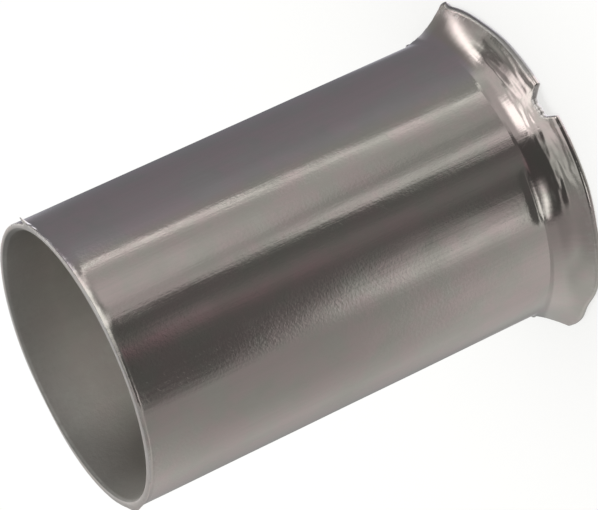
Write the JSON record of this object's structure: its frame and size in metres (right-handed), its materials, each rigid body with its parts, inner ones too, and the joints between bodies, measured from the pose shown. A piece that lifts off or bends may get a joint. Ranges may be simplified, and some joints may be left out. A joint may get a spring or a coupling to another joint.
{
  "type": "wire ferrule",
  "caption": "Uninsulated end sleeve: a thin plain metal tube flared at one mouth, slid over stranded wire and crimped so that the strands go into a terminal as one.",
  "frame": {"origin": "on the bore's axis, in the plane that the flared rim stands on", "axes": "+Z along the bore's axis, from the flared mouth up to the cut end; X and Y across the sleeve, with the rim's wide tear between +X and +Y"},
  "size_m": [0.0128, 0.0128, 0.0183],
  "materials": {
    "tinned_copper": "copper tube with a bright tin plating, lightly drawn along its length, scuffed at the flare"
  },
  "bodies": {
    "root": {"ferrule_sleeve": "tinned_copper"}
  },
  "joints": []
}
